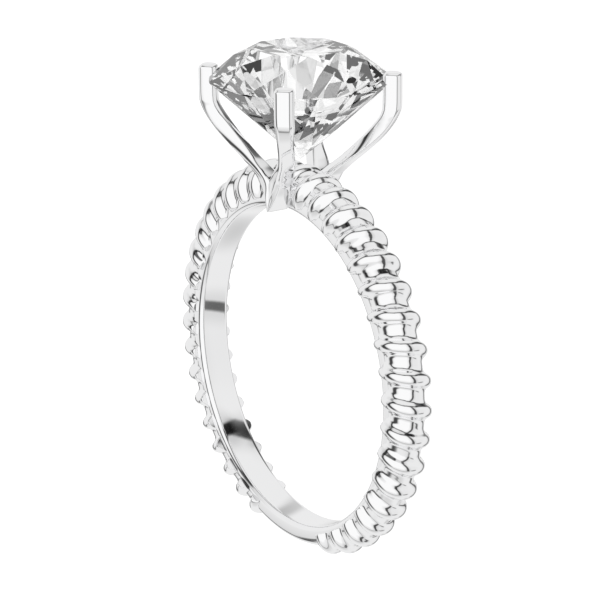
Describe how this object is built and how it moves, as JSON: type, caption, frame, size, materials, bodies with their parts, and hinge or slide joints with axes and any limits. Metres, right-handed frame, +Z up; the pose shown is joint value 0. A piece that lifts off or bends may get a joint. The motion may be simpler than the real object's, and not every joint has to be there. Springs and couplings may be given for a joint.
{
  "type": "solitaire ring with a twisted rope shank",
  "caption": "Solitaire finger ring: rope-twisted shank on a plain inner band, round brilliant in four square prongs with V feet, lying on its side.",
  "frame": {"origin": "centre of the finger hole", "axes": "+Y from the finger hole along the floor towards the stone, +Z up while the ring lies on its side, +X across the ring"},
  "size_m": [0.0212, 0.0266, 0.0091],
  "materials": {
    "metal": "polished",
    "stone": "polished"
  },
  "bodies": {
    "root": {"mounting": "metal", "stone": "stone"}
  },
  "joints": []
}
